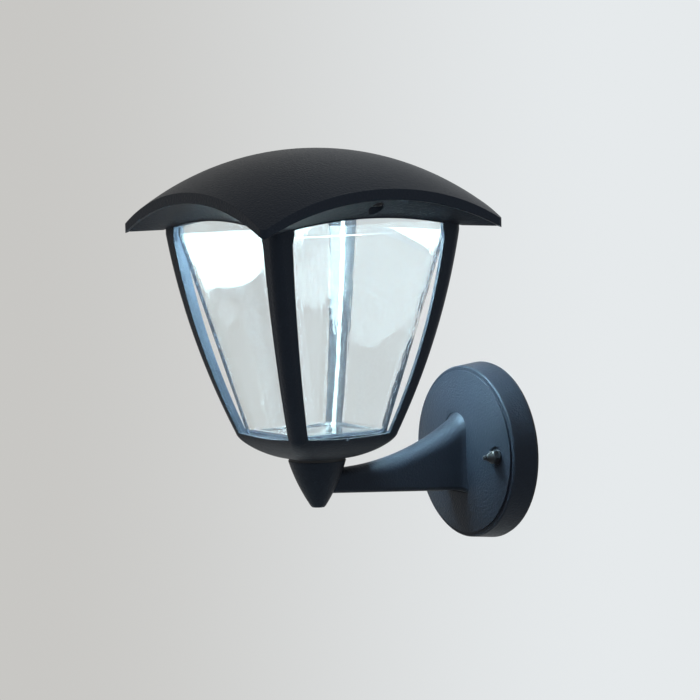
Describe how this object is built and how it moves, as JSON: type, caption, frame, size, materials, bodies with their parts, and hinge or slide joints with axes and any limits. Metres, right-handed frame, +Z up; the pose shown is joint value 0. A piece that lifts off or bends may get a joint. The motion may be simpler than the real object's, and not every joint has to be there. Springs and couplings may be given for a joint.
{
  "type": "fence light",
  "caption": "Outdoor wall lantern: square domed roof over a clear ribbed lantern with LED light, carried by a horn arm on a round wall plate.",
  "frame": {"origin": "midway between the two wall slots of the bracket, on the wall plane, behind the centre of the round wall plate", "axes": "+Y into the wall, +Z up, the lantern stands out along -Y"},
  "size_m": [0.17, 0.213, 0.2522],
  "materials": {
    "black_casting": "fine-textured satin black powder coat",
    "clear_polycarbonate": "clear, polished",
    "opal_polycarbonate": "opal, diffusing",
    "clear_silicone": "translucent matte",
    "sheet_aluminium": "mill finish",
    "board_white": "white solder mask",
    "led_white": "phosphor face",
    "driver_white": "moulded",
    "black_screws": "black coated steel",
    "zinc_steel": "zinc plated",
    "black_rubber": "matte",
    "black_foam": "closed-cell foam",
    "block_white": "moulded",
    "brass": "turned",
    "white_sleeve": "soft sleeve",
    "core_sleeve": "soft sleeve",
    "earth_sleeve": "soft sleeve"
  },
  "bodies": {
    "lantern": {"arm": "black_casting", "arm_screws": "zinc_steel", "base_gasket": "black_rubber", "base_nipple": "zinc_steel", "block_screws": "zinc_steel", "bracket_screws": "zinc_steel", "cable_grommet": "black_rubber", "clear_diffuser": "clear_polycarbonate", "dc_leads": "core_sleeve", "diffuser_seal": "clear_silicone", "driver_screws": "zinc_steel", "earth_lead": "earth_sleeve", "earth_screw": "brass", "earth_washer": "brass", "lamp_tray": "sheet_aluminium", "lantern_frame": "black_casting", "led_board": "board_white", "led_driver": "driver_white", "led_packages": "led_white", "nipple_locknut": "zinc_steel", "nipple_washer": "zinc_steel", "opal_cover": "opal_polycarbonate", "roof_cap": "black_casting", "roof_screws": "black_screws", "supply_cores": "core_sleeve", "supply_lead": "white_sleeve", "terminal_block": "block_white", "terminal_inserts": "brass", "terminal_screws": "zinc_steel", "tray_screws": "zinc_steel", "wall_bracket": "zinc_steel", "wall_gasket": "black_foam", "wall_plate": "black_casting"},
    "left_washer": {"left_nut_washer": "black_screws"},
    "right_washer": {"right_nut_washer": "black_screws"},
    "left_nut": {"left_cap_nut": "black_screws"},
    "right_nut": {"right_cap_nut": "black_screws"}
  },
  "joints": [
    {"name": "left_nut_travel", "type": "slide", "parent": "lantern", "child": "left_washer", "axis": [0, -1, 0], "range_m": [0, 0.0042]},
    {"name": "left_nut_turn", "type": "hinge", "parent": "left_washer", "child": "left_nut", "pos_m": [-0.04, -0.0219, 0], "axis": [0, -1, 0], "continuous": true},
    {"name": "right_nut_travel", "type": "slide", "parent": "lantern", "child": "right_washer", "axis": [0, -1, 0], "range_m": [0, 0.0042]},
    {"name": "right_nut_turn", "type": "hinge", "parent": "right_washer", "child": "right_nut", "pos_m": [0.04, -0.0219, 0], "axis": [0, -1, 0], "continuous": true}
  ],
  "couplings": [
    {"joint": "left_nut_turn", "follows": "left_nut_travel", "rad_per_m": 8976},
    {"joint": "right_nut_turn", "follows": "right_nut_travel", "rad_per_m": 8976}
  ]
}
